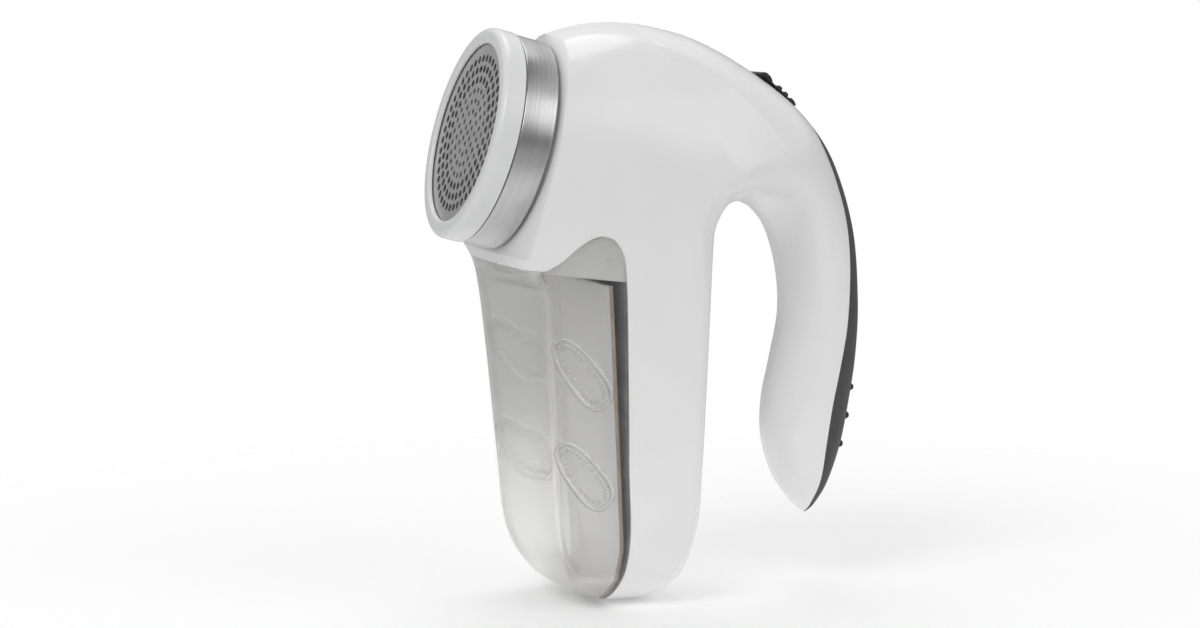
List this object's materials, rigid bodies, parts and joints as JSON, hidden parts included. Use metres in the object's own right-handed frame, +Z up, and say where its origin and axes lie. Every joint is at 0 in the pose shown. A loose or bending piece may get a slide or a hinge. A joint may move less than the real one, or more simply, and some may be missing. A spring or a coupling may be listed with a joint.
{
  "type": "fabric shaver",
  "caption": "Hand-held fabric shaver: upright column with clear lint box, tilted round foil head with distance guard, and a hooked handle with a soft grip pad and thumb switch.",
  "frame": {"origin": "middle of the bounding box, at the surface the column stands on", "axes": "+Z up along the column, -Y the side the head faces, +Y the handle side, +X across the two half shells"},
  "size_m": [0.07, 0.1368, 0.1775],
  "materials": {
    "shell_white": "gloss white ABS",
    "grip_rubber": "soft-touch dark grey",
    "black_rubber": "matt black",
    "black_plastic": "fine matt",
    "grey_plastic": "fine matt",
    "collar_plastic": "gloss",
    "clear_plastic": "clear, lightly smoked",
    "amber_plastic": "translucent tan",
    "frosted_plastic": "frosted translucent",
    "foil_steel": "satin perforated foil",
    "brushed_ring": "turned and brushed round its axis",
    "blade_steel": "ground",
    "spring_steel": "drawn wire",
    "motor_steel": "plated",
    "screw_steel": "zinc plated",
    "contact_metal": "nickel-plated brass",
    "copper": null,
    "cell_wrap": "printed shrink sleeve",
    "board": "solder mask",
    "wire_red": "insulated wire"
  },
  "bodies": {
    "body": {"housing_right": "shell_white", "housing_left": "shell_white", "grip_pad": "grip_rubber", "grip_ribs": "black_rubber", "switch_body": "contact_metal", "bin_catch": "spring_steel", "head_collar": "collar_plastic", "motor_can": "motor_steel", "motor_cap": "black_plastic", "motor_mount": "collar_plastic", "motor_screws": "screw_steel", "cell_left": "cell_wrap", "cell_right": "cell_wrap", "cell_tray": "grey_plastic", "cell_contacts": "contact_metal", "circuit_board": "board", "inlet_jack": "black_plastic", "inlet_contacts": "contact_metal", "housing_screws": "screw_steel", "leads": "wire_red"},
    "lint_box": {"lint_bin": "clear_plastic", "lint_bin_back": "amber_plastic"},
    "foil_holder": {"foil": "foil_steel", "foil_ring": "brushed_ring"},
    "guard": {"guard_ring": "frosted_plastic"},
    "cutter": {"blade_carrier": "grey_plastic", "blades": "blade_steel", "blade_spring": "spring_steel", "impeller": "grey_plastic", "drive_shaft": "blade_steel", "motor_rotor": "copper"},
    "switch": {"switch_button": "black_plastic", "switch_carriage": "grey_plastic"}
  },
  "joints": [
    {"name": "lint_box_slide", "type": "slide", "parent": "body", "child": "lint_box", "axis": [0, -0.3007, -0.9537], "range_m": [0, 0.115]},
    {"name": "foil_holder_turn", "type": "hinge", "parent": "body", "child": "foil_holder", "pos_m": [0, -0.04324, 0.1403], "axis": [0, -0.9659, 0.2588], "range_deg": [0, 30]},
    {"name": "guard_pull", "type": "slide", "parent": "foil_holder", "child": "guard", "axis": [0, -0.9659, 0.2588], "range_m": [0, 0.012]},
    {"name": "cutter_spin", "type": "hinge", "parent": "body", "child": "cutter", "pos_m": [0, -0.04324, 0.1403], "axis": [0, -0.9659, 0.2588], "continuous": true},
    {"name": "switch_slide", "type": "slide", "parent": "body", "child": "switch", "axis": [0, 0.7513, -0.66], "range_m": [0, 0.005]}
  ]
}
